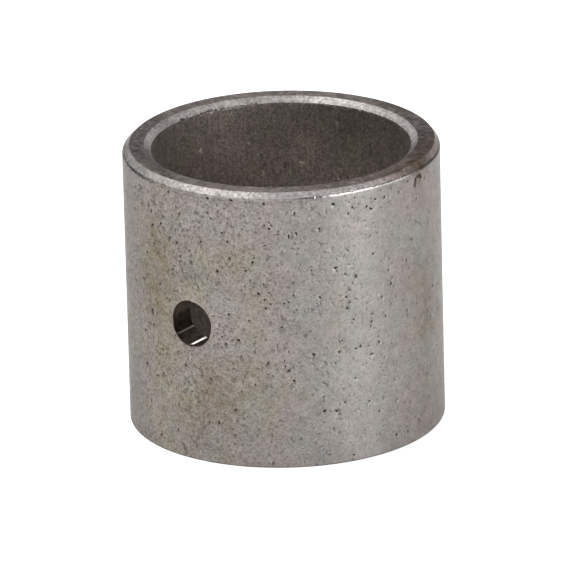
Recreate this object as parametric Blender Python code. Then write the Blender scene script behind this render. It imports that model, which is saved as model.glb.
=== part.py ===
"""A plain sleeve bushing: one turned tube with chamfered mouths and an oil hole through its wall.

The sleeve stands on the plane Z = 0 with its axis on +Z. The oil hole faces -Y.
Everything is in metres.
"""

import math

import bmesh
import bpy
from mathutils import Matrix, Vector

MM = 0.001
INCH = 0.0254

# Driving dimensions: an inch-series sleeve, 1 1/8 x 1 3/8 x 1 1/4.
BORE_DIAMETER = 1.125 * INCH
OUTER_DIAMETER = 1.375 * INCH
LENGTH = 1.25 * INCH

# The lead-in chamfer round the outside of the upper end.
LEAD_IN_RADIAL = 0.66 * MM
LEAD_IN_AXIAL = 0.72 * MM

# The chamfer at both mouths of the bore, where the shaft enters. It is flatter than 45 degrees.
MOUTH_RADIAL = 0.76 * MM
MOUTH_AXIAL = 0.55 * MM

# The lower end has no lead-in: its outer corner is only broken.
CORNER_BREAK = 0.12 * MM

# The oil hole, drilled square to the axis at the middle of the length.
OIL_HOLE_DIAMETER = 5.2 * MM
OIL_HOLE_HEIGHT = LENGTH / 2
DRILL_OVERSHOOT = 2 * MM

# How finely the round shapes are divided.
TURNED_STEPS = 192
DRILLED_STEPS = 72
SAME_POINT = 0.001 * MM

OUTER_RADIUS = OUTER_DIAMETER / 2
BORE_RADIUS = BORE_DIAMETER / 2

# Edges sharper than this stay crisp in the shading.
CREASE_ANGLE = math.radians(20)

# The grey metal's finish.
METAL_COLOUR = (0.30, 0.275, 0.262)
METAL_ROUGHNESS = 0.42
METALLIC = 1.0


def clear_scene():
    """Removes every object, so that the file holds the bushing alone."""
    for item in list(bpy.data.objects):
        bpy.data.objects.remove(item, do_unlink=True)


def metal(name, colour, roughness, metallic):
    """A Principled material."""
    made = bpy.data.materials.new(name)
    made.use_nodes = True
    shader = made.node_tree.nodes["Principled BSDF"]
    shader.inputs["Base Color"].default_value = (*colour, 1.0)
    shader.inputs["Roughness"].default_value = roughness
    shader.inputs["Metallic"].default_value = metallic
    made.diffuse_color = (*colour, 1.0)
    return made


def sleeve_section():
    """The wall's cross-section as (radius, height) corners: down the outside and up the bore."""
    return [
        (OUTER_RADIUS - LEAD_IN_RADIAL, LENGTH),
        (OUTER_RADIUS, LENGTH - LEAD_IN_AXIAL),
        (OUTER_RADIUS, CORNER_BREAK),
        (OUTER_RADIUS - CORNER_BREAK, 0.0),
        (BORE_RADIUS + MOUTH_RADIAL, 0.0),
        (BORE_RADIUS, MOUTH_AXIAL),
        (BORE_RADIUS, LENGTH - MOUTH_AXIAL),
        (BORE_RADIUS + MOUTH_RADIAL, LENGTH),
    ]


def turned_mesh(name, section, steps):
    """Turns a closed section about the Z axis, as a lathe would."""
    shape = bmesh.new()
    corners = [shape.verts.new((radius, 0.0, height)) for radius, height in section]
    edges = [shape.edges.new(pair) for pair in zip(corners, corners[1:] + corners[:1])]
    bmesh.ops.spin(
        shape,
        geom=corners + edges,
        cent=(0.0, 0.0, 0.0),
        axis=(0.0, 0.0, 1.0),
        angle=2 * math.pi,
        steps=steps,
        use_merge=True,
    )
    bmesh.ops.remove_doubles(shape, verts=shape.verts, dist=SAME_POINT)
    bmesh.ops.recalc_face_normals(shape, faces=shape.faces)
    mesh = bpy.data.meshes.new(name)
    shape.to_mesh(mesh)
    shape.free()
    return mesh


def oil_hole_drill():
    """The drill that cuts the oil hole: a closed bar along -Y, from inside the bore to past the wall."""
    shape = bmesh.new()
    start, end = BORE_RADIUS / 2, OUTER_RADIUS + DRILL_OVERSHOOT
    bmesh.ops.create_cone(
        shape,
        cap_ends=True,
        segments=DRILLED_STEPS,
        radius1=OIL_HOLE_DIAMETER / 2,
        radius2=OIL_HOLE_DIAMETER / 2,
        depth=end - start,
        matrix=Matrix.Rotation(math.pi / 2, 4, "X"),
    )
    mesh = bpy.data.meshes.new("oil_hole_drill")
    shape.to_mesh(mesh)
    shape.free()
    drill = bpy.data.objects.new("oil_hole_drill", mesh)
    drill.location = Vector((0.0, -(start + end) / 2, OIL_HOLE_HEIGHT))
    drill.hide_render = True
    drill.display_type = "WIRE"
    bpy.context.scene.collection.objects.link(drill)
    return drill


def bushing_sleeve():
    """The whole bushing: it is one turned and drilled piece of metal."""
    mesh = turned_mesh("bushing_sleeve", sleeve_section(), TURNED_STEPS)
    mesh.materials.append(metal("grey_bearing_metal", METAL_COLOUR, METAL_ROUGHNESS, METALLIC))
    mesh.shade_smooth()
    mesh.set_sharp_from_angle(angle=CREASE_ANGLE)
    sleeve = bpy.data.objects.new("bushing_sleeve", mesh)
    bpy.context.scene.collection.objects.link(sleeve)
    cut = sleeve.modifiers.new("oil_hole", "BOOLEAN")
    cut.operation = "DIFFERENCE"
    cut.object = oil_hole_drill()
    return sleeve


clear_scene()
bushing_sleeve()
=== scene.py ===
"""Looks of a plain sleeve bushing: porous turned wall, faced ends, a bore dark in its own shade with painted
shade at its top and low down, and a drilled oil hole.
"""
import math
import random

import bmesh
import bpy
from mathutils import Matrix, Vector, noise
from mathutils.geometry import delaunay_2d_cdt


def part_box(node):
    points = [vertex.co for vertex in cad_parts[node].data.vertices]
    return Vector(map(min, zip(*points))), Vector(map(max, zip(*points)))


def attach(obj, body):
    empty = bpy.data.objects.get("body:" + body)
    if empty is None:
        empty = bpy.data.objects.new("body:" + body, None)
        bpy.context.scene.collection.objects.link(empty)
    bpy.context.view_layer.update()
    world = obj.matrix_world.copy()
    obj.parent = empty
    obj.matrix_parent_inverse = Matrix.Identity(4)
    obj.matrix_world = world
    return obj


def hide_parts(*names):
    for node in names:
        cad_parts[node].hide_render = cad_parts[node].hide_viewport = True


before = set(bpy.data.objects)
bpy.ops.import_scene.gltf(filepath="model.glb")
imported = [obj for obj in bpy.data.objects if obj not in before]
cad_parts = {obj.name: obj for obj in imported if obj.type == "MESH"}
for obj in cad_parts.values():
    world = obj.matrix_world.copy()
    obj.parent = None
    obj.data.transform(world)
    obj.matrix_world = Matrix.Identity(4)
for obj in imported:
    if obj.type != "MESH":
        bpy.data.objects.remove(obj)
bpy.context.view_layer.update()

MM = 0.001
NODE = "bushing_sleeve"
CHANCE = random.Random(20)


# --- the frame's own sizes, in millimetres -----------------------------------------------------

TINY = 0.01                    # sizes within this count as the same
CLEAR_OF_ENDS = 1.0            # this far inside the bore's ends only the oil hole has points


def across(point):
    """Distance from the bushing's axis."""
    return math.hypot(point.x, point.y)


low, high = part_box(NODE)
OUTER = (high.x - low.x) / 2 / MM
HEIGHT = high.z / MM
corners = [vertex.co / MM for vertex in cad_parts[NODE].data.vertices]
solid_side = [point for point in corners if point.y > 0]      # the half without the oil hole
BORE = min(across(point) for point in solid_side)
top_face = [across(point) for point in corners if point.z > HEIGHT - TINY]
base_face = [across(point) for point in corners if point.z < TINY]
LIP_OUTER, LIP_INNER = max(top_face), min(top_face)
LEAD_IN = max(point.z for point in solid_side if across(point) > OUTER - TINY)
bore_ends = [point.z for point in solid_side if across(point) < BORE + TINY]
MOUTH_TOP, MOUTH_BASE = max(bore_ends), min(bore_ends)
BASE_OUTER, BASE_INNER = max(base_face), min(base_face)
BREAK = min(point.z for point in solid_side if across(point) > OUTER - TINY)
inner_heights = (MOUTH_BASE + CLEAR_OF_ENDS, MOUTH_TOP - CLEAR_OF_ENDS)
oil_edge = [point for point in corners if point.y < 0 and inner_heights[0] < point.z < inner_heights[1]]
OIL_HOLE = max(abs(point.x) for point in oil_edge)
OIL_HEIGHT = (max(point.z for point in oil_edge) + min(point.z for point in oil_edge)) / 2


# --- camera ------------------------------------------------------------------------------------

AZIMUTH, ELEVATION, ROLL = 36.2, 20.31, -1.47   # degrees
DISTANCE = 1.0                                  # metres from the object's middle
LENS, SENSOR = 567.3, 36                        # millimetres
AIM_RIGHT, AIM_UP = 0.32, -1.25                 # where it looks, in millimetres from the middle
MIDDLE = Vector((0, 0, HEIGHT * MM / 2))


def direction(azimuth, elevation):
    """Unit vector towards a point round the object: azimuth 0 is -Y, 90 is +X."""
    a, e = math.radians(azimuth), math.radians(elevation)
    return Vector((math.sin(a) * math.cos(e), -math.cos(a) * math.cos(e), math.sin(e)))


def add_camera():
    """A long lens that looks down into the bore, from the right of the oil hole."""
    camera = bpy.data.objects.new("camera", bpy.data.cameras.new("camera"))
    bpy.context.scene.collection.objects.link(camera)
    camera.data.lens, camera.data.sensor_width = LENS, SENSOR
    camera.data.clip_start, camera.data.clip_end = 0.01, 100
    back = direction(AZIMUTH, ELEVATION)
    right = Vector((0, 0, 1)).cross(back).normalized()
    up = back.cross(right)
    camera.location = MIDDLE + back * DISTANCE
    aim = MIDDLE + (right * AIM_RIGHT + up * AIM_UP) * MM
    look = (aim - camera.location).to_track_quat("-Z", "Y")
    camera.rotation_mode = "QUATERNION"
    camera.rotation_quaternion = look @ Matrix.Rotation(math.radians(ROLL), 3, "Z").to_quaternion()
    bpy.context.scene.camera = camera


# --- the section that is turned: one closed line of (radius, height), counter-clockwise --------

EDGE_RADII = {                 # how far each turned edge is rounded, in millimetres
    "lead_in_low": 0.45, "lip_outer": 0.07, "lip_inner": 0.07, "mouth_top": 0.06,
    "mouth_base": 0.06, "base_inner": 0.06, "base_outer": 0.05, "wall_low": 0.05,
}
EDGE_STEPS = 5
RIM_MARGIN = 0.9               # how much of the wall and the bore belongs to the rims' rows
LIP_RUNOUT = 0.10              # the lead-in was cut slightly off centre
RUNOUT_TOWARDS = AZIMUTH + 90  # its narrow side


def split(start, end, count):
    """The points that divide a straight line into equal parts, without its ends."""
    return [start.lerp(end, k / count) for k in range(1, count)]


def section_points():
    """The section's points, and the index at which each zone starts."""
    path = [
        ("base_outer", (BASE_OUTER, 0), 1), ("wall_low", (OUTER, BREAK), 2),
        ("wall_start", (OUTER, BREAK + RIM_MARGIN), 1), ("wall_end", (OUTER, LEAD_IN - RIM_MARGIN), 3),
        ("lead_in_low", (OUTER, LEAD_IN), 5), ("lip_outer", (LIP_OUTER, HEIGHT), 7),
        ("lip_inner", (LIP_INNER, HEIGHT), 5), ("mouth_top", (BORE, MOUTH_TOP), 3),
        ("bore_start", (BORE, MOUTH_TOP - RIM_MARGIN), 1), ("bore_end", (BORE, MOUTH_BASE + RIM_MARGIN), 2),
        ("mouth_base", (BORE, MOUTH_BASE), 2), ("base_inner", (BASE_INNER, 0), 4),
    ]
    points, marks = [], {}
    for k, (name, corner, parts) in enumerate(path):
        here = Vector(corner)
        after = Vector(path[(k + 1) % len(path)][1])
        before = Vector(path[k - 1][1])
        radius = EDGE_RADII.get(name, 0)
        marks[name] = len(points)
        if radius:
            arrive, leave = (here - before).normalized(), (after - here).normalized()
            cut = radius * math.tan(arrive.angle(leave) / 2)
            start, end = here - arrive * cut, here + leave * cut
            for step in range(EDGE_STEPS + 1):
                t = step / EDGE_STEPS
                points.append(start * (1 - t) ** 2 + here * 2 * t * (1 - t) + end * t * t)
        else:
            points.append(here)
            end = here
        next_radius = EDGE_RADII.get(path[(k + 1) % len(path)][0], 0)
        following = Vector(path[(k + 2) % len(path)][1])
        along = (after - here).normalized()
        next_cut = next_radius * math.tan(along.angle((following - after).normalized()) / 2)
        points += split(end, after - along * next_cut, parts)
    return points, marks


SECTION, MARKS = section_points()
LINE = [0.0]                   # the section's own coordinate at each point, and round to the first
for first, second in zip(SECTION, SECTION[1:] + SECTION[:1]):
    LINE.append(LINE[-1] + (second - first).length)
ROUND = LINE[-1]


def outward(k):
    """The section's outward normal at a point, between its two lines' own."""
    before, here, after = SECTION[k - 1], SECTION[k], SECTION[(k + 1) % len(SECTION)]
    along = (here - before).normalized() + (after - here).normalized()
    return Vector((along.y, -along.x)).normalized()


NORMALS = [outward(k) for k in range(len(SECTION))]


def runout_share(point):
    """1 at the lip's outer edge, falling to 0 at the wall and at the lip's inner edge."""
    if point.y < LEAD_IN - TINY:
        return 0.0
    if point.x > LIP_OUTER:
        return (OUTER - point.x) / (OUTER - LIP_OUTER)
    return max(0.0, (point.x - LIP_INNER) / (LIP_OUTER - LIP_INNER))


def on_section(s):
    """(point, normal) of the section at a coordinate along it."""
    s %= ROUND
    low_k, high_k = 0, len(SECTION)
    while high_k - low_k > 1:
        middle = (low_k + high_k) // 2
        low_k, high_k = (middle, high_k) if LINE[middle] <= s else (low_k, middle)
    after = (low_k + 1) % len(SECTION)
    t = (s - LINE[low_k]) / (LINE[low_k + 1] - LINE[low_k])
    return SECTION[low_k].lerp(SECTION[after], t), NORMALS[low_k].lerp(NORMALS[after], t).normalized()


LOW_EDGE_START = LINE[MARKS["lead_in_low"]]
LOW_EDGE_STOP = LINE[MARKS["lead_in_low"] + EDGE_STEPS]
LOW_EDGE = (LOW_EDGE_START + LOW_EDGE_STOP) / 2
LOW_TURN = math.atan2(OUTER - LIP_OUTER, HEIGHT - LEAD_IN)      # how far the surface turns there
LOW_CUT = EDGE_RADII["lead_in_low"] * math.tan(LOW_TURN / 2)    # how far the rounding reaches
WORN_SMOOTH = (64, 30, 0.30)   # degrees round, half width in degrees, further reach in millimetres
WORN_ROUGH = (8, 34, 0.60)     # the same where the edge is battered
WORN_FAR = 1.0                 # no wear is felt farther from the edge than this, in millimetres
BATTER_SIZE = 0.55             # width of a dent in the battered edge, in millimetres


def hill(angle, middle, half_width):
    """1 at a place round the bushing, falling smoothly to 0 away from it. Both are in degrees."""
    away = (math.degrees(angle) - middle + 180) % 360 - 180
    return math.exp(-(away / half_width) ** 2)


def rounding(away, cut):
    """How far a rounding that reaches so far takes the surface below the sharp corner."""
    return LOW_TURN * (cut - away) ** 2 / (4 * cut) if away < cut else 0.0


def low_edge_reach(angle):
    """How far the low edge's rounding reaches here: it is worn on one side and battered on another."""
    batter = noise.noise(Vector((math.sin(angle), math.cos(angle), 0.3)) * OUTER / BATTER_SIZE)
    smooth = WORN_SMOOTH[2] * hill(angle, *WORN_SMOOTH[:2])
    rough = WORN_ROUGH[2] * hill(angle, *WORN_ROUGH[:2]) * max(0.0, 0.35 + batter)
    return LOW_CUT + smooth + rough


def worn(angle, s):
    """How much deeper than the section's own rounding the surface is worn here."""
    away = abs(s - LOW_EDGE)
    return rounding(away, low_edge_reach(angle)) - rounding(away, LOW_CUT) if away < WORN_FAR else 0.0


LOW_RAISED = (66, 46, 0.24)    # where the low edge lies higher, half width in degrees, by how much
RAISED_REACH = 0.8             # how far along the section that is felt, in millimetres


def placed(angle, s, depth):
    """The 3-D point, in millimetres, at an angle round from -Y and a place along the section."""
    point, normal = on_section(s)
    depth += worn(angle, s)
    radius = point.x - normal.x * depth
    radius += LIP_RUNOUT * runout_share(point) * math.cos(angle - math.radians(RUNOUT_TOWARDS))
    raised = LOW_RAISED[2] * hill(angle, *LOW_RAISED[:2]) * max(0.0, 1 - abs(s - LOW_EDGE) / RAISED_REACH)
    return Vector((radius * math.sin(angle), -radius * math.cos(angle), point.y - normal.y * depth + raised))


def wall_line(height):
    """The section's coordinate at a height on the outer wall."""
    return LINE[MARKS["wall_start"]] + height - (BREAK + RIM_MARGIN)


def bore_line(height):
    """The section's coordinate at a height on the bore."""
    return LINE[MARKS["bore_start"]] + (MOUTH_TOP - RIM_MARGIN) - height


# --- pores, nicks and scars: small hollows, each with an irregular outline -----------------------

INNER_RING = 0.62              # where a hollow's inner points lie, as a share of its outline
RING_POINTS = ((0.09, 7), (0.16, 9), (math.inf, 12))      # points in a ring, for hollows up to this size


class Hollow:
    """A small hollow at (angle, s), with its half width and depth in millimetres and its tilt."""

    def __init__(self, angle, s, size, stretch=1.0, tilt=0.0, depth=None, lobes=0.22, dark=1.0):
        self.angle, self.s, self.radius = angle, s, on_section(s)[0].x
        self.size, self.stretch, self.tilt = size, stretch, tilt
        self.depth = size * 0.8 if depth is None else depth
        self.two, self.three = CHANCE.uniform(0, math.tau), CHANCE.uniform(0, math.tau)
        self.lobes, self.dark = lobes, dark

    def edge(self, turn):
        """The outline's distance from the middle, before stretch."""
        wave = math.sin(2 * turn + self.two) + 0.6 * math.sin(3 * turn + self.three)
        return self.size * (1 + self.lobes * wave)

    def reach(self):
        """How far from the middle the hollow can reach."""
        return self.size * max(self.stretch, 1) * (1 + 1.6 * self.lobes)

    def ring(self, share, count):
        """(angle, s) of points round the middle at a share of the outline's distance."""
        points = []
        for k in range(count):
            turn = math.tau * (k + 0.5 * (share < 1)) / count
            far = self.edge(turn) * share
            along, over = far * math.cos(turn) * self.stretch, far * math.sin(turn)
            du = along * math.cos(self.tilt) - over * math.sin(self.tilt)
            ds = along * math.sin(self.tilt) + over * math.cos(self.tilt)
            points.append((self.angle + du / self.radius, self.s + ds))
        return points

    def points(self):
        """(angle, s) of the points that give the hollow its shape in the mesh."""
        count = next(points for size, points in RING_POINTS if self.size < size)
        return self.ring(1, count) + self.ring(INNER_RING, count) + [(self.angle, self.s)]

    def depth_at(self, angle, s):
        """How deep the hollow is at a place, and 0 outside it."""
        du, ds = (angle - self.angle) * self.radius, s - self.s
        along = (du * math.cos(self.tilt) + ds * math.sin(self.tilt)) / self.stretch
        over = ds * math.cos(self.tilt) - du * math.sin(self.tilt)
        share = math.hypot(along, over) / self.edge(math.atan2(over, along))
        return self.depth * (1 - share ** 3) if share < 1 else 0.0


PATCHES = 5                    # how quickly the pores' patches change, for one outer radius
CROWDED = (12, 48)             # where pores crowd, and half the width of that, in degrees
SPARSE = (4, 14)               # heights between which the pores grow from fewest to most
SMALLEST_PORE, PORE_SPREAD = 0.045, 0.115      # half width, and how much more a pore may have
PORE_GAP = 0.35                # least distance from a pore's middle to the oil hole


def crowding(angle, height):
    """How likely a pore is on the wall, from 0 to 1: more round the oil hole, fewer low down."""
    place = Vector((math.sin(angle), math.cos(angle), height / OUTER)) * PATCHES
    patch = 0.5 + 0.9 * noise.noise(place)
    facing = 0.40 + 0.60 * hill(angle, *CROWDED)
    upper = 0.42 + 0.58 * min(1, max(0, (height - SPARSE[0]) / (SPARSE[1] - SPARSE[0])))
    return patch * facing * upper


def pore_size():
    """Most pores are specks, a few are over three times as wide."""
    return SMALLEST_PORE + PORE_SPREAD * CHANCE.random() ** 3.6


def near_oil_hole(angle, height, radius, gap):
    """Whether a place on a wall of this radius is within a gap of the oil hole."""
    return math.hypot(radius * math.sin(angle), height - OIL_HEIGHT) < OIL_HOLE + gap and math.cos(angle) > 0


def wall_pores(count):
    """Pores all round the outer wall, clear of its ends and of the oil hole."""
    pores = []
    while len(pores) < count:
        angle, height = CHANCE.uniform(-math.pi / 2, 1.5 * math.pi), CHANCE.uniform(0.3, LEAD_IN - 0.25)
        wrapped = (angle + math.pi) % math.tau - math.pi
        if CHANCE.random() > crowding(wrapped, height) or near_oil_hole(angle, height, OUTER, PORE_GAP):
            continue
        size = pore_size()
        stretch = 1 + 0.9 * CHANCE.random() ** 3
        pores.append(Hollow(angle, wall_line(height), size, stretch, CHANCE.uniform(0, math.pi)))
    return pores


def bore_pores(count):
    """Small pores all round the bore, clear of its ends and of the oil hole."""
    pores = []
    while len(pores) < count:
        angle, height = CHANCE.uniform(-math.pi / 3, 5 * math.pi / 3), CHANCE.uniform(1, HEIGHT - 1)
        if not near_oil_hole(angle, height, BORE, PORE_GAP):
            pores.append(Hollow(angle, bore_line(height), 0.03 + 0.03 * CHANCE.random(), 1.2, dark=0.7))
    return pores


def edge_nicks(line, count, start, stop, smallest, largest, spread, dark):
    """Small dents along an edge, between two angles in degrees, more of them small than large."""
    nicks = []
    for _ in range(count):
        angle = math.radians(CHANCE.uniform(start, stop))
        size = smallest + (largest - smallest) * CHANCE.random() ** 3
        s = line + CHANCE.uniform(-spread, spread)
        stretch, tilt = 1 + CHANCE.random(), CHANCE.uniform(-0.5, 0.5)
        nicks.append(Hollow(angle, s, size, stretch, tilt, size * 0.35, dark=dark))
    return nicks


SCAR = (                       # along an arch, left to right: millimetres aside of its middle and above it
    (-0.66, -0.38), (-0.70, -0.10), (-0.62, 0.16), (-0.40, 0.36),
    (-0.10, 0.44), (0.22, 0.42), (0.50, 0.26), (0.60, 0.02),
)
SCAR_PLACE = (math.radians(94.8), 30.02)       # angle and height of its middle
SCAR_DEPTH = 0.11


def horseshoe_scar(angle, height):
    """An arch-shaped knock under the lead-in, as overlapping hollows. Its left leg is the longer."""
    made = []
    for k, (aside, up) in enumerate(SCAR):
        before, after = SCAR[max(k - 1, 0)], SCAR[min(k + 1, len(SCAR) - 1)]
        tilt = math.atan2(after[1] - before[1], after[0] - before[0])
        size, dark = CHANCE.uniform(0.20, 0.30), CHANCE.uniform(0.25, 0.6)
        s = wall_line(height + up)
        made.append(Hollow(angle + aside / OUTER, s, size, 1.2, tilt, SCAR_DEPTH, 0.25, dark))
    return made


LIP_EDGE = LINE[MARKS["lip_outer"]]
MIDWAY = 0.3                   # how far into a mouth's rounding its middle lies, as a share of its radius
MOUTH_EDGE = LINE[MARKS["mouth_top"]] + EDGE_RADII["mouth_top"] * MIDWAY
BASE_EDGE = LINE[MARKS["mouth_base"]] + EDGE_RADII["mouth_base"] * MIDWAY
NICKED = (                     # line, count, from and to in degrees, smallest, largest, spread, darkness
    (LOW_EDGE + 0.04, 85, -60, -8, 0.04, 0.13, 0.09, 0.35),
    (LOW_EDGE + 0.1, 16, -8, 50, 0.05, 0.12, 0.30, 0.3),
    (LOW_EDGE + 0.12, 90, 50, 300, 0.03, 0.08, 0.05, 0.25),
    (LIP_EDGE, 60, -90, 270, 0.03, 0.08, 0.05, 0.25),
    (MOUTH_EDGE, 160, 90, 250, 0.05, 0.13, 0.07, 0.25),
    (MOUTH_EDGE, 26, 226, 266, 0.09, 0.20, 0.06, 0.8),
)
DENTS = (                      # just under the lead-in: degrees, height, half width
    (8.5, 30.78, 0.16), (17.5, 30.85, 0.15), (29.5, 30.62, 0.13), (48.5, 31.0, 0.10),
)
SCRATCHES = ((28.3, 0.34), (24.5, 0.30))       # degrees, and how far up the lead-in from its low edge

hollows = wall_pores(1350) + bore_pores(260)
for row in NICKED:
    hollows += edge_nicks(*row)
hollows += horseshoe_scar(*SCAR_PLACE)
for degrees, height, size in DENTS:
    hollows.append(Hollow(math.radians(degrees), wall_line(height), size, 1.4, 0.2, 0.12))
for degrees, up in SCRATCHES:
    hollows.append(Hollow(math.radians(degrees), LOW_EDGE + up, 0.055, 7.0, -0.75, 0.05, lobes=0.1, dark=0))


# --- stains: (degrees round, height, half width, half height, strength), in millimetres ----------

WALL_STAINS = (
    (-16, 20.0, 3.6, 9.0, 0.85), (14, 8.8, 5.8, 4.2, 0.6), (12, 23.4, 4.5, 5.5, 0.3),
    (58, 16.0, 2.0, 4.0, 0.3), (96, 18.5, 3.2, 3.0, 0.5), (99, 13.0, 3.0, 2.6, 0.7),
    (97, 6.5, 2.0, 3.0, 0.35), (97, 31.4, 1.5, 0.8, 1.0), (95, 30.1, 1.1, 0.9, 0.7),
    (87, 31.7, 3.5, 0.4, 0.3), (5, 4.5, 4.5, 4.0, 0.4), (160, 22.0, 4.0, 6.0, 0.4),
    (215, 9.0, 6.0, 4.0, 0.4), (268, 20.0, 3.0, 7.0, 0.35), (166, 31.8, 2.6, 0.5, 0.8),
)
BORE_STAINS = ((204, 26.2, 1.3, 1.9, 1.0), (120, 14.0, 3.0, 6.0, 0.4), (290, 12.0, 4.0, 5.0, 0.4))


def stain_at(point, stains):
    """How stained the metal is at a point, from 0 to 1."""
    radius, angle = across(point), math.degrees(math.atan2(point.x, -point.y))
    total = 0.0
    for degrees, height, half_width, half_height, strength in stains:
        off = math.radians((angle - degrees + 180) % 360 - 180) * radius / half_width
        total += strength * math.exp(-off * off - ((point.z - height) / half_height) ** 2)
    return min(1.0, total)


# --- sheets: parts of the skin, unrolled, meshed finely and rolled up again ---------------------

COLUMNS = 720                  # points round each shared edge
CELL = 1.0                     # size of the boxes that the hollows are sorted into
POINT_GAP = 0.03               # least distance from a sheet's own points to its edges and to a hollow
HOLE_GAP = 0.12                # and to the oil hole
HOLLOW_REACH = 1.0             # a hollow this far past a sheet's end can still have points on the sheet
SAME_PLACE = 0.001             # points on a sheet within this are one


def cell_of(angle, s):
    """The box that a place is sorted into."""
    return int((angle % math.tau) * OUTER // CELL), int((s % ROUND) // CELL)


sorted_hollows = {}
for hollow in hollows:
    spread = int(hollow.reach() // CELL) + 1
    column, row = cell_of(hollow.angle, hollow.s)
    for i in range(column - spread, column + spread + 1):
        for j in range(row - spread, row + spread + 1):
            sorted_hollows.setdefault((i % int(math.tau * OUTER // CELL + 1), j), []).append(hollow)


def hollows_near(angle, s):
    """The hollows that may reach this place."""
    return sorted_hollows.get(cell_of(angle, s), ())


PIT_FULL = 0.03                # depth at which a pore is as dark as it gets, in millimetres


def sunk(angle, s):
    """(depth, darkness) of the skin here, by the deepest hollow and by the darkest."""
    deepest, darkest = 0.0, 0.0
    for hollow in hollows_near(angle, s):
        near = angle + math.tau * round((hollow.angle - angle) / math.tau)
        depth = hollow.depth_at(near, s)
        deepest = max(deepest, depth)
        darkest = max(darkest, hollow.dark * min(1.0, depth / PIT_FULL))
    return deepest, darkest


def in_hollow(angle, s, margin):
    """Whether a place is in a hollow or within a margin of one."""
    for hollow in hollows_near(angle, s):
        near = angle + math.tau * round((hollow.angle - angle) / math.tau)
        if math.hypot((near - hollow.angle) * hollow.radius, s - hollow.s) < hollow.reach() + margin:
            return True
    return False


OIL_SIDES = 180
OIL_EDGE = 0.07                # how far the oil hole's edges are broken
OIL_MOUTH = OIL_HOLE + OIL_EDGE
ACROSS_LOOP = (2 + math.cos(math.tau / OIL_SIDES)) / 3   # a triangle this near the loop lies outside it


def oil_loop(radius):
    """(angle, height) of the oil hole's edge on a cylinder of this radius."""
    loop = []
    for k in range(OIL_SIDES):
        turn = math.tau * k / OIL_SIDES
        angle = math.asin(OIL_MOUTH * math.cos(turn) / radius)
        loop.append((angle, OIL_HEIGHT + OIL_MOUTH * math.sin(turn)))
    return loop


class Skin:
    """The whole skin as it grows: points, faces, and what each point or face carries."""

    def __init__(self):
        self.points, self.faces = [], []
        self.pits, self.layout, self.zones = [], [], []   # a pit below 0 is polish

    def add(self, points, pits, layout, faces, zones):
        start = len(self.points)
        self.points += points
        self.pits += pits
        self.layout += layout
        self.faces += [[start + k for k in face] for face in faces]
        self.zones += zones


ATLAS = 99.0                   # side of the square that the skin's unrolled parts share, in millimetres
ZONES = ("wall", "faces", "bore", "oil_hole", "edge")


def zone_at(s):
    """Which surface the section is, at a coordinate along it."""
    if LOW_EDGE_START < s < LOW_EDGE_STOP:
        return ZONES.index("edge")
    if LOW_EDGE < s < MOUTH_EDGE or s > BASE_EDGE:
        return ZONES.index("faces")
    return ZONES.index("wall" if s <= LOW_EDGE else "bore")


def sheet(skin, columns, lines, corner, step, to_line=None):
    """Meshes one part of the skin between two columns and along the given section lines.

    corner is its place on the atlas. step thins the columns between the shared edges. to_line says
    where a height lies on the section, and is given where the oil hole goes through this sheet.
    """
    first, last = columns
    radius = sum(on_section(s)[0].x for s in (lines[0], lines[-1])) / 2
    start, stop = math.tau * first / COLUMNS, math.tau * last / COLUMNS
    low_line, high_line = lines[0], lines[-1]
    flat = []
    for k in range(first, last + 1):
        angle = math.tau * k / COLUMNS
        flat += [(angle, low_line), (angle, high_line)]
    for row, s in enumerate(lines[1:-1]):
        flat += [(start, s), (stop, s)]
        for k in range(first + step - (row % 2) * (step // 2), last, step):
            angle = math.tau * k / COLUMNS
            if k > first and not in_hollow(angle, s, POINT_GAP):
                flat.append((angle, s))
    for hollow in hollows:
        in_reach = low_line - HOLLOW_REACH < hollow.s < high_line + HOLLOW_REACH
        for turns in (-math.tau, 0, math.tau):
            if in_reach and start < hollow.angle + turns < stop:
                flat += [(angle + turns, s) for angle, s in hollow.points()]
    side = POINT_GAP / radius
    kept = []
    for angle, s in flat:
        on_edge = angle in (start, stop) or s in (low_line, high_line)
        between = low_line + POINT_GAP < s < high_line - POINT_GAP
        inside = start + side < angle < stop - side and between
        clear = to_line is None or not near_oil_hole(angle, abs(s - to_line(0)), radius, HOLE_GAP)
        if (on_edge or inside) and clear:
            kept.append(Vector((angle * radius, s)))
    loop_edges = []
    if to_line:
        count = len(kept)
        kept += [Vector((angle * radius, to_line(height))) for angle, height in oil_loop(radius)]
        loop_edges = [(count + k, count + (k + 1) % OIL_SIDES) for k in range(OIL_SIDES)]
    found = delaunay_2d_cdt(kept, loop_edges, [], 0, SAME_PLACE)
    places, triangles = found[0], found[2]
    points, pits, layout = [], [], []
    for place in places:
        angle, s = place.x / radius, place.y
        depth, darkness = sunk(angle, s)
        points.append(placed(angle, s, depth))
        pits.append(darkness)
        across_atlas, up_atlas = corner[0] + place.x - start * radius, corner[1] + s - low_line
        layout.append((across_atlas / ATLAS, up_atlas / ATLAS))
    faces, zones = [], []
    for triangle in triangles:
        middle = sum((places[k] for k in triangle), Vector((0, 0))) / 3
        angle, height = middle.x / radius, abs(middle.y - to_line(0)) if to_line else 0
        off_axis = math.hypot(radius * math.sin(angle), height - OIL_HEIGHT)
        if to_line is None or off_axis > OIL_MOUTH * ACROSS_LOOP or math.cos(angle) < 0:
            faces.append(list(triangle))
            zones.append(zone_at(middle.y))
    skin.add(points, pits, layout, faces, zones)


def spaced(start, stop, gap):
    """Section lines from start to stop, about a gap apart."""
    count = round((stop - start) / gap)
    return [start + (stop - start) * k / count for k in range(count + 1)]


SCORES = ((262, 268, 0.066, 1.0), (217, 221, 0.02, 0.45))   # from and to in degrees, depth, polish


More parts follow.
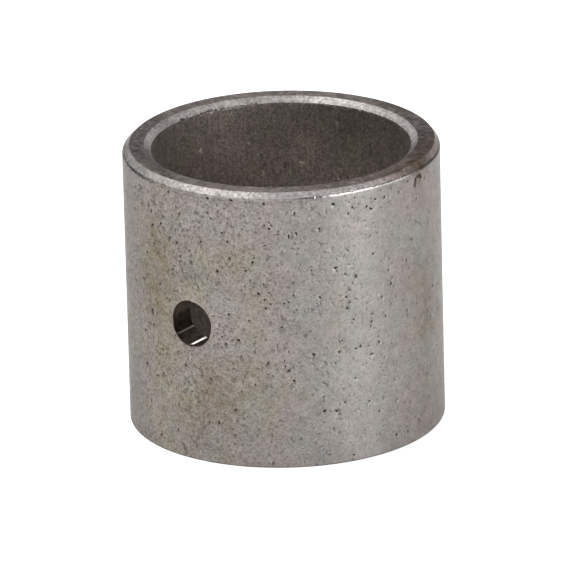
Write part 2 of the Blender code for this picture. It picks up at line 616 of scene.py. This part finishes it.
def score_at(turn):
    """(depth, polish) of the drill's scores along the oil hole's wall, each a narrow tilted flat."""
    degrees = math.degrees(turn)
    for start, stop, depth, shine in SCORES:
        if start <= degrees <= stop:
            return depth * (degrees - start) / (stop - start), shine
    return 0.0, 0.0


OIL_BANDS = 5                  # bands of faces along the drilled wall
OIL_MARGIN = 0.03              # how far they stay from its edges, as a share of its length


def oil_hole_wall(skin, corner):
    """The drilled wall between the outer skin and the bore, with both its edges broken."""
    rows = [(0, OIL_EDGE * t, OIL_EDGE * (1 - t) ** 2) for t in (0, 0.35, 0.7, 1)]
    mirrored = [(1, -further, wider) for share, further, wider in reversed(rows)]
    for k in range(OIL_BANDS + 1):
        rows.append((OIL_MARGIN + (1 - 2 * OIL_MARGIN) * k / OIL_BANDS, 0, 0))
    rows += mirrored
    points, polish, layout = [], [], []
    for share, further, wider in rows:
        for k in range(OIL_SIDES + 1):
            turn = math.tau * k / OIL_SIDES
            scored, shine = score_at(turn)
            polish.append(-shine * (0 < share < 1))
            reach = OIL_HOLE + wider + scored * (0 < share < 1)
            x, z = reach * math.cos(turn), OIL_HEIGHT + reach * math.sin(turn)
            outside, inside = math.sqrt(OUTER ** 2 - x * x), math.sqrt(BORE ** 2 - x * x)
            y = outside + (inside - outside) * share - further
            points.append(Vector((x, -y, z)))
            layout.append(((corner[0] + turn * OIL_HOLE) / ATLAS, (corner[1] + outside - y) / ATLAS))
    wide = OIL_SIDES + 1
    faces = []
    for row in range(len(rows) - 1):
        for here in range(row * wide, row * wide + OIL_SIDES):
            faces.append([here, here + 1, here + wide + 1, here + wide])
    skin.add(points, polish, layout, faces, [ZONES.index("oil_hole")] * len(faces))


WALL_GAP, BORE_GAP = 0.62, 1.0     # distance between the rows of points on the wall and in the bore
CORNERS = {                    # where each unrolled part lies on the atlas, in millimetres
    "wall": ((1, 1), (1, 34)), "rim": ((32, 67), (32, 74)), "base": ((32, 81), (32, 86)),
    "foot": ((32, 91), (32, 93)), "bore": ((57, 1), (57, 34), (1, 67)), "oil_hole": (32, 95),
}


def grow_skin():
    """The whole skin, sheet by sheet. The sheets still have their own edges where they meet."""
    skin = Skin()
    half, third = COLUMNS // 2, COLUMNS // 3
    wall_lines = spaced(LINE[MARKS["wall_start"]], LINE[MARKS["wall_end"]], WALL_GAP)
    rim_lines = LINE[MARKS["wall_end"]:MARKS["bore_start"] + 1]
    bore_lines = spaced(LINE[MARKS["bore_start"]], LINE[MARKS["bore_end"]], BORE_GAP)
    base_lines = LINE[MARKS["bore_end"]:]
    foot_lines = LINE[:MARKS["wall_start"] + 1]
    for side in range(2):
        columns = (-half // 2 + half * side, half // 2 + half * side)
        hole_here = wall_line if side == 0 else None
        sheet(skin, columns, wall_lines, CORNERS["wall"][side], 2, hole_here)
        sheet(skin, columns, rim_lines, CORNERS["rim"][side], 1)
        sheet(skin, columns, base_lines, CORNERS["base"][side], 2)
        sheet(skin, columns, foot_lines, CORNERS["foot"][side], 2)
    for part in range(3):
        columns = (-third // 2 + third * part, third // 2 + third * part)
        hole_here = bore_line if part == 0 else None
        sheet(skin, columns, bore_lines, CORNERS["bore"][part], 4, hole_here)
    oil_hole_wall(skin, CORNERS["oil_hole"])
    return skin


SEAM = 2e-6                    # metres within which the sheets' shared edge points meet


def build_sleeve():
    """The skin as one closed mesh object, its sheets joined along their edges."""
    skin = grow_skin()
    mesh = bpy.data.meshes.new("sleeve")
    mesh.from_pydata([tuple(point * MM) for point in skin.points], [], skin.faces)
    mesh.attributes.new("pit", "FLOAT", "POINT").data.foreach_set("value", skin.pits)
    halfway = (OUTER + BORE) / 2
    stains = []
    for point in skin.points:
        stains.append(stain_at(point, WALL_STAINS if across(point) > halfway else BORE_STAINS))
    mesh.attributes.new("stain", "FLOAT", "POINT").data.foreach_set("value", stains)
    unrolled = mesh.uv_layers.new(name="OFBake")
    for loop in mesh.loops:
        unrolled.data[loop.index].uv = skin.layout[loop.vertex_index]
    mesh.polygons.foreach_set("material_index", skin.zones)
    work = bmesh.new()
    work.from_mesh(mesh)
    edge_points = [vertex for vertex in work.verts if vertex.is_boundary]
    bmesh.ops.remove_doubles(work, verts=edge_points, dist=SEAM)
    bmesh.ops.recalc_face_normals(work, faces=work.faces)
    still_open = sum(len(edge.link_faces) != 2 for edge in work.edges)
    print("sleeve:", len(work.faces), "faces,", still_open, "open edges")
    work.to_mesh(mesh)
    work.free()
    mesh.shade_smooth()
    sleeve = bpy.data.objects.new("sleeve", mesh)
    bpy.context.scene.collection.objects.link(sleeve)
    return sleeve


# --- materials ---------------------------------------------------------------------------------

class Nodes:
    """Adds nodes to a tree, each wired to what it is given."""

    def __init__(self, owner):
        owner.use_nodes = True
        self.tree = owner.node_tree

    def wire(self, socket, value):
        if isinstance(value, bpy.types.NodeSocket):
            self.tree.links.new(value, socket)
        else:
            socket.default_value = value

    def vector(self, operation, first, second=None, output="Vector"):
        node = self.tree.nodes.new("ShaderNodeVectorMath")
        node.operation = operation
        self.wire(node.inputs[0], first)
        if second is not None:
            self.wire(node.inputs[1], second)
        return node.outputs[output]

    def math(self, operation, first, second=0.0, clamp=False):
        node = self.tree.nodes.new("ShaderNodeMath")
        node.operation, node.use_clamp = operation, clamp
        self.wire(node.inputs[0], first)
        self.wire(node.inputs[1], second)
        return node.outputs[0]

    def band(self, value, start, stop, low=0.0, high=1.0):
        """The value taken smoothly from one range to another, and held at its ends."""
        node = self.tree.nodes.new("ShaderNodeMapRange")
        node.interpolation_type = "SMOOTHSTEP"
        for socket, number in zip(node.inputs[1:5], (start, stop, low, high)):
            socket.default_value = number
        self.wire(node.inputs[0], value)
        return node.outputs[0]

    def mix(self, factor, first, second, blend="MIX"):
        node = self.tree.nodes.new("ShaderNodeMix")
        node.data_type, node.blend_type, node.clamp_factor = "RGBA", blend, True
        for socket, value in ((node.inputs[0], factor), (node.inputs[6], first), (node.inputs[7], second)):
            self.wire(socket, (*value, 1) if isinstance(value, tuple) else value)
        return node.outputs[2]

    def shade(self, colour, amount):
        """The colour times a grey amount."""
        joined = self.tree.nodes.new("ShaderNodeCombineColor")
        for socket in joined.inputs[:3]:
            self.wire(socket, amount)
        return self.mix(1.0, colour, joined.outputs[0], "MULTIPLY")


class Metal(Nodes):
    """One metal surface. Its textures lie in the object's own space, in millimetres."""

    def __init__(self, name, anisotropic=0.0, metallic=1.0, edge=1.0):
        """edge is how bright the metal is where it is seen at a glancing angle."""
        self.material = bpy.data.materials.new(name)
        super().__init__(self.material)
        self.shader = self.tree.nodes["Principled BSDF"]
        self.shader.inputs["Metallic"].default_value = metallic
        self.shader.inputs["Specular Tint"].default_value = (edge, edge, edge, 1)
        if anisotropic:
            self.shader.inputs["Anisotropic"].default_value = anisotropic
            self.shader.inputs["Anisotropic Rotation"].default_value = 0.25
            tangent = self.tree.nodes.new("ShaderNodeTangent")
            tangent.direction_type, tangent.axis = "RADIAL", "Z"
            self.wire(self.shader.inputs["Tangent"], tangent.outputs[0])
        place = self.tree.nodes.new("ShaderNodeTexCoord").outputs["Object"]
        self.place = self.vector("MULTIPLY", place, (1 / MM,) * 3)

    def stretched(self, x, y, z):
        return self.vector("MULTIPLY", self.place, (x, y, z))

    def noise(self, size, detail=2.0, place=None):
        """Noise whose patches are about this many millimetres across."""
        node = self.tree.nodes.new("ShaderNodeTexNoise")
        self.wire(node.inputs["Vector"], place or self.place)
        node.inputs["Scale"].default_value = 1 / size
        node.inputs["Detail"].default_value = detail
        return node.outputs[0]

    def facing(self, azimuth):
        """1 on the side of the outer wall that faces this way, -1 on the other."""
        return self.vector("DOT_PRODUCT", self.place, tuple(direction(azimuth, 0) / OUTER), "Value")

    def height(self):
        return self.vector("DOT_PRODUCT", self.place, (0, 0, 1), "Value")

    def aside(self):
        """How far to the right of the oil hole's axis."""
        return self.vector("DOT_PRODUCT", self.place, (1, 0, 0), "Value")

    def attribute(self, name):
        node = self.tree.nodes.new("ShaderNodeAttribute")
        node.attribute_name = name
        return node.outputs["Fac"]

    def filmed_and_shaded(self, colour, amount, film):
        """The colour under some amount of a clear film of its own colour. It lays real stains, and painted
        shade and a painted warm cast on the ends.
        """
        return self.mix(amount, colour, self.mix(1.0, colour, film, "MULTIPLY"))

    def stained(self, colour, stain):
        """The colour under old oil, in a patchy edge."""
        patchy = self.band(self.noise(1.3, 3), 0.3, 0.65, 0.3, 1.0)
        return self.filmed_and_shaded(colour, self.math("MULTIPLY", self.attribute("stain"), patchy), stain)

    def pitted(self, colour, strength):
        """The colour darkened in its pores, nicks and dents by their depth, and how much pore there is."""
        pit = self.band(self.attribute("pit"), 0.1, 0.7)
        return self.mix(self.math("MULTIPLY", pit, strength), colour, HOLLOW_DARK), pit

    def bump(self, height, depth, under=None):
        """A bump whose full height is this many millimetres, over another one's normal if given."""
        node = self.tree.nodes.new("ShaderNodeBump")
        node.inputs["Strength"].default_value = 1.0
        node.inputs["Distance"].default_value = depth * MM
        self.wire(node.inputs["Height"], height)
        if under:
            self.wire(node.inputs["Normal"], under)
        return node.outputs[0]

    def finish(self, colour, roughness, normal):
        """Wires the shader and gives the material."""
        for name, value in (("Base Color", colour), ("Roughness", roughness), ("Normal", normal)):
            self.wire(self.shader.inputs[name], value)
        return self.material


OLIVE, PINK, GREY = (0.272, 0.249, 0.205), (0.274, 0.244, 0.232), (0.262, 0.254, 0.242)
CUT_DARK, CUT_LIGHT = (0.357, 0.334, 0.322), (0.398, 0.374, 0.363)
BORE_RED, BORE_OLIVE = (0.335, 0.287, 0.272), (0.350, 0.304, 0.264)
DRILLED, POLISHED, FLECK = (0.215, 0.174, 0.148), (0.75, 0.73, 0.70), (0.75, 0.72, 0.68)
SPECK = (0.085, 0.070, 0.056)
HOLLOW_DARK = (0.034, 0.027, 0.021)

# films over the metal: old oil and the pale marks in the bore. The rest are painted light on the ends: a
# painted warm cast of reflected light on the flat ring, and painted shade on the flat ring's right, on the
# ends' right side and at their left end
OIL_STAIN, PALE_STAIN = (0.66, 0.60, 0.44), (1.45, 1.40, 1.22)
FLAT_WARM_CAST, FLAT_RIGHT_PAINTED_SHADE = (1.04, 0.98, 0.96), (0.82, 0.79, 0.77)
RIGHT_PAINTED_SHADE, LEFT_PAINTED_SHADE = (0.86, 0.77, 0.75), (0.50, 0.47, 0.45)

GRAIN = 0.27                   # size of the metal's grains, in millimetres
LEFT_SIDE, RIGHT_SIDE = -54, 126   # azimuths of the wall's two sides, as the camera sees them


def wall_metal():
    """Porous turned metal: soft patches of tint, fine grain, dark pores."""
    m = Metal("wall_metal", anisotropic=0.65, metallic=0.85, edge=0.5)
    # painted colour cast: the facing and height terms make the wall pinker towards the right, at its left
    # edge and near the top, and greyer on the side facing azimuth 60; the noise terms are random tone
    warmth = m.math("ADD", m.noise(5.5, 2), m.math("MULTIPLY", m.facing(80), 0.22))
    warmth = m.math("ADD", warmth, m.band(m.facing(LEFT_SIDE), 0.75, 0.95, 0, 0.25))
    warmth = m.math("ADD", warmth, m.band(m.height(), 22, 29, 0, 0.12))
    tint = m.mix(m.band(warmth, 0.37, 0.68), OLIVE, PINK)
    patches = m.band(m.noise(4.2, 1), 0.48, 0.64)
    greyer = m.math("MULTIPLY", patches, m.band(m.facing(60), 0.2, 0.8, 0.25, 0.8))
    tint = m.mix(greyer, tint, GREY)
    tint = m.mix(m.band(m.facing(60), 0.86, 1.0, 0, 0.35), tint, GREY)
    # painted shade on the side facing azimuth 84, and painted light that makes the wall's right edge up to a
    # fifth lighter
    tint = m.shade(tint, m.band(m.facing(84), 0.95, 1.0, 1.0, 0.93))
    tint = m.shade(tint, m.band(m.facing(RIGHT_SIDE), 0.88, 0.99, 1.0, 1.20))
    tint = m.stained(tint, OIL_STAIN)
    grain = m.noise(GRAIN, 1)
    tint = m.shade(tint, m.band(m.noise(1.4, 3), 0.25, 0.75, 0.92, 1.08))
    grainy = m.shade(tint, m.band(grain, 0.25, 0.75, 0.72, 1.26))
    tint = m.mix(m.band(m.facing(100), -0.2, 0.95, 0.0, 0.5), grainy, tint)
    # painted shade: the wall darker towards its foot, and the foot's broken edge darkened to under half,
    # where the contact shade falls and is reflected
    tint = m.shade(tint, m.band(m.height(), 1, 11, 0.93, 1.0))
    tint = m.shade(tint, m.band(m.height(), BREAK * 0.5, BREAK + 0.1, 0.45, 1.0))
    porous = m.band(m.facing(2), 0.2, 1.0, 0.0, 0.045)
    speck = m.band(m.math("ADD", m.noise(0.36, 0), porous), 0.70, 0.82, 0, 0.60)
    tint, pit = m.pitted(m.mix(speck, tint, SPECK), 0.93)
    rough = m.math("ADD", m.band(m.noise(0.9, 2), 0.3, 0.7, 0.35, 0.45), m.math("MULTIPLY", pit, 0.3))
    turned = m.noise(0.12, 2, m.stretched(0.04, 0.04, 1))
    return m.finish(tint, rough, m.bump(turned, 0.002, m.bump(grain, 0.006)))


def cut_tint(m, grain):
    """The colour of freshly cut metal, a little uneven."""
    tint = m.mix(m.band(m.noise(2.2, 2), 0.35, 0.65), CUT_DARK, CUT_LIGHT)
    tint = m.stained(tint, OIL_STAIN)
    return m.shade(tint, m.band(grain, 0.25, 0.75, 0.76, 1.21))


def face_metal():
    """Faced ends and cut edges: cleaner and smoother, with the tool's rings."""
    m = Metal("face_metal", anisotropic=0.55, edge=0.7)
    turns = m.tree.nodes.new("ShaderNodeCombineXYZ")
    m.wire(turns.inputs[0], m.vector("LENGTH", m.stretched(1, 1, 0), output="Value"))
    rings = m.noise(0.20, 3, turns.outputs[0])
    grain = m.noise(GRAIN * 1.5, 1)
    tint = m.shade(cut_tint(m, grain), m.band(rings, 0.3, 0.7, 0.82, 1.12))
    tint = m.shade(tint, m.band(m.noise(0.5, 2), 0.3, 0.7, 0.86, 1.12))
    flat = m.band(m.height(), HEIGHT - 0.10, HEIGHT - 0.03)
    # painted light: a warm cast over the flat ring, and painted shade on its right, on the ends' right side,
    # and to half at their left end
    flat_right_shade = m.math("MULTIPLY", flat, m.band(m.facing(85), 0.55, 0.85))
    tint = m.filmed_and_shaded(tint, flat, FLAT_WARM_CAST)
    tint = m.filmed_and_shaded(tint, flat_right_shade, FLAT_RIGHT_PAINTED_SHADE)
    tint = m.filmed_and_shaded(tint, m.band(m.facing(102), 0.78, 0.95), RIGHT_PAINTED_SHADE)
    tint = m.filmed_and_shaded(tint, m.band(m.facing(LEFT_SIDE), 0.93, 0.99), LEFT_PAINTED_SHADE)
    tint, pit = m.pitted(tint, 0.8)
    rough = m.math("ADD", m.band(m.noise(0.7, 2), 0.3, 0.7, 0.34, 0.44), m.math("MULTIPLY", pit, 0.3))
    return m.finish(tint, rough, m.bump(rings, 0.005, m.bump(grain, 0.026)))


def edge_metal():
    """The lead-in's low edge: burnished where it is worn, rougher on both sides of that."""
    m = Metal("edge_metal", edge=0.8)
    grain = m.noise(GRAIN, 1)
    # painted shade: the low edge darkened to a quarter on its right side and to under a third on its left
    tint = m.shade(cut_tint(m, grain), m.band(m.facing(130), 0.68, 0.85, 1.0, 0.25))
    tint = m.shade(tint, m.band(m.facing(LEFT_SIDE), 0.75, 0.92, 1.0, 0.3))
    tint, pit = m.pitted(tint, 0.8)
    towards = m.facing(WORN_SMOOTH[0])
    smooth, behind = m.band(towards, 0.80, 0.97, 0.52, 0.17), m.band(towards, -0.1, 0.2, 0.45, 1.0)
    burnished = m.math("MULTIPLY", smooth, behind)
    rough = m.math("ADD", burnished, m.band(m.noise(0.5, 2), 0.3, 0.7, 0, 0.1))
    return m.finish(tint, m.math("ADD", rough, m.math("MULTIPLY", pit, 0.3)), m.bump(grain, 0.006))


def bore_metal():
    """Bore with faint upright streaks and small light specks, and painted shade at its top and low down."""
    m = Metal("bore_metal", metallic=0.8)
    tint = m.mix(m.band(m.noise(4.0, 2), 0.4, 0.65), BORE_RED, BORE_OLIVE)
    tint = m.stained(tint, PALE_STAIN)
    # painted shade: darker low in the bore, and darker towards its top where the lamps light it more
    tint = m.shade(tint, m.band(m.height(), 10, 20, 0.80, 1.0))
    tint = m.shade(tint, m.band(m.height(), 23, 31, 1.05, 0.76))
    tint = m.shade(tint, m.band(m.noise(0.35, 3, m.stretched(1, 1, 0.06)), 0.3, 0.7, 0.93, 1.07))
    grain = m.noise(GRAIN, 1)
    tint = m.shade(tint, m.band(m.noise(2.6, 2), 0.3, 0.7, 0.93, 1.06))
    tint = m.shade(tint, m.band(grain, 0.25, 0.75, 0.66, 1.32))
    fleck = m.band(m.noise(0.22, 0), 0.70, 0.82, 0, 0.15)
    tint, pit = m.pitted(m.mix(fleck, tint, FLECK), 0.85)
    return m.finish(tint, m.band(m.noise(0.9, 2), 0.3, 0.7, 0.46, 0.58), m.bump(grain, 0.006))


def drilled_metal():
    """The oil hole's wall: dark and rough, with painted shade low down and painted light on its right half,
    but for the bright scores along the drill's way.
    """
    m = Metal("drilled_metal", edge=0.4)
    lines = m.noise(0.16, 2, m.stretched(1, 0.06, 1))
    tint = m.shade(DRILLED, m.band(lines, 0.3, 0.7, 0.8, 1.15))
    tint = m.shade(tint, m.band(m.noise(0.7, 2), 0.35, 0.65, 0.7, 1.2))
    # painted shade over the lower part of the hole's wall, and painted light that makes its right half up to
    # four times as light
    tint = m.shade(tint, m.band(m.height(), OIL_HEIGHT - OIL_HOLE * 0.6, OIL_HEIGHT, 0.22, 1.1))
    tint = m.shade(tint, m.band(m.aside(), 0.0, 0.3, 1.0, 4.0))
    polish = m.math("MULTIPLY", m.attribute("pit"), -1.0)
    tint = m.mix(polish, tint, POLISHED)
    return m.finish(tint, m.band(polish, 0, 1, 0.42, 0.12), m.bump(lines, 0.001))


# --- floor, light and world --------------------------------------------------------------------

FLOOR_HALF = 8.0               # metres
FLOOR_GLOW = 0.60              # keeps the floor pale right up to the metal


def add_floor():
    """A wide pale floor that glows a little, except in the bore's shade."""
    work = bmesh.new()
    bmesh.ops.create_grid(work, x_segments=1, y_segments=1, size=FLOOR_HALF)
    mesh = bpy.data.meshes.new("floor")
    work.to_mesh(mesh)
    work.free()
    floor = bpy.data.objects.new("floor", mesh)
    bpy.context.scene.collection.objects.link(floor)
    material = bpy.data.materials.new("floor")
    nodes = Nodes(material)
    shader = nodes.tree.nodes["Principled BSDF"]
    shader.inputs["Base Color"].default_value = (0.8, 0.8, 0.8, 1)
    shader.inputs["Roughness"].default_value = 0.9
    shader.inputs["Specular IOR Level"].default_value = 0.1
    place = nodes.tree.nodes.new("ShaderNodeTexCoord").outputs["Object"]
    away = nodes.vector("LENGTH", place, output="Value")
    nodes.wire(shader.inputs["Emission Color"], nodes.band(away, BORE * MM, OUTER * MM))
    shader.inputs["Emission Strength"].default_value = FLOOR_GLOW
    mesh.materials.append(material)


LAMPS_AWAY = 0.9               # metres from the object's middle


def softbox(name, turn, elevation, width, height, radiance, colour=(1, 1, 1)):
    """A rectangular lamp facing the object. turn is its azimuth from the camera's, to the right."""
    lamp = bpy.data.lights.new(name, "AREA")
    lamp.shape, lamp.size, lamp.size_y = "RECTANGLE", width, height
    lamp.energy = radiance * math.pi * width * height
    lamp.color = colour
    box = bpy.data.objects.new(name, lamp)
    bpy.context.scene.collection.objects.link(box)
    towards = direction(AZIMUTH + turn, elevation)
    box.location = MIDDLE + towards * LAMPS_AWAY
    box.rotation_mode = "QUATERNION"
    box.rotation_quaternion = towards.to_track_quat("Z", "Y")


SKY = (0.38, 0.88, 0.05, 1.10)   # the heights between which it grows brighter, then its strengths there
UNDER = (-0.01, 0, 1.10, 0)      # the same for the pale part below the horizon


def light_the_sky():
    """A sky that is dark above the horizon and bright overhead, and as pale as the floor below it."""
    world = bpy.data.worlds.new("world")
    bpy.context.scene.world = world
    nodes = Nodes(world)
    towards = nodes.tree.nodes.new("ShaderNodeTexCoord").outputs["Generated"]
    height = nodes.vector("DOT_PRODUCT", towards, (0, 0, 1), "Value")
    backdrop = nodes.tree.nodes["Background"]
    backdrop.inputs["Color"].default_value = (1, 1, 1, 1)
    strength = nodes.math("MAXIMUM", nodes.band(height, *SKY), nodes.band(height, *UNDER))
    nodes.wire(backdrop.inputs["Strength"], strength)


def light_the_stage():
    """One large softbox on each side of the camera, and smaller ones that the cut edges reflect."""
    light_the_sky()
    softbox("left_wing", -72, 53, 0.90, 0.46, 1.5, (1, 0.99, 0.97))
    softbox("left_high", -112, 70, 0.30, 0.29, 2.0)
    softbox("left_back", -128, 36, 0.54, 0.40, 1.3)
    softbox("right_wing", 42, 35, 0.54, 0.26, 0.35)
    softbox("right_front", 52, 11, 0.60, 0.31, 4.6)
    softbox("right_low", 90, 6, 0.45, 0.19, 1.8)
    softbox("right_back", 106, 46, 0.36, 0.34, 0.35)
    softbox("back_left", -154, 15, 0.40, 0.30, 1.45)
    softbox("back_right", 150, 17, 0.38, 0.29, 1.35)
    softbox("front_low", -30, 5, 1.00, 0.15, 0.4)
    softbox("front_fill", -18, 33, 0.85, 0.30, 1.0)
    softbox("spark", 159, 38, 0.14, 0.20, 3.0)   # what the oil hole's score reflects


# --- the scene ---------------------------------------------------------------------------------

add_camera()
sleeve = build_sleeve()
for material in (wall_metal(), face_metal(), bore_metal(), drilled_metal(), edge_metal()):
    sleeve.data.materials.append(material)
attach(sleeve, "root")
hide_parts(NODE)
add_floor()
light_the_stage()
bpy.context.scene.view_settings.view_transform = "Standard"
